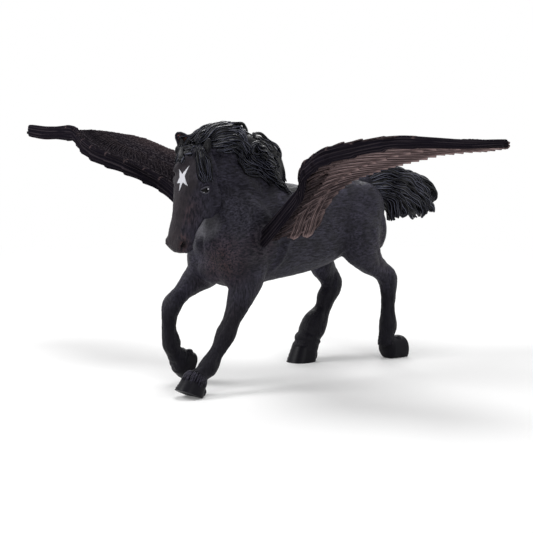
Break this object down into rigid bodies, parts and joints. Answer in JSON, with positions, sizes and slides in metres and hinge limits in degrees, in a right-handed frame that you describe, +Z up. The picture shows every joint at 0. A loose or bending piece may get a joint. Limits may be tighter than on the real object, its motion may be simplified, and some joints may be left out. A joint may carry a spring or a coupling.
{
  "type": "pegasus figurine",
  "caption": "Moulded plastic figurine of a dark winged horse, trotting with wings spread, that stands on its own hooves.",
  "frame": {"origin": "on the ground, under the middle of the figure's box", "axes": "+Z up, -X the way the horse faces, +Y towards its right wing tip"},
  "size_m": [0.19, 0.3168, 0.1235],
  "materials": {
    "painted_plastic": "matt charcoal with fine hair texture, brown dry-brushed feathers and muzzle, glossier black mane and tail"
  },
  "bodies": {
    "root": {"pegasus": "painted_plastic"}
  },
  "joints": []
}
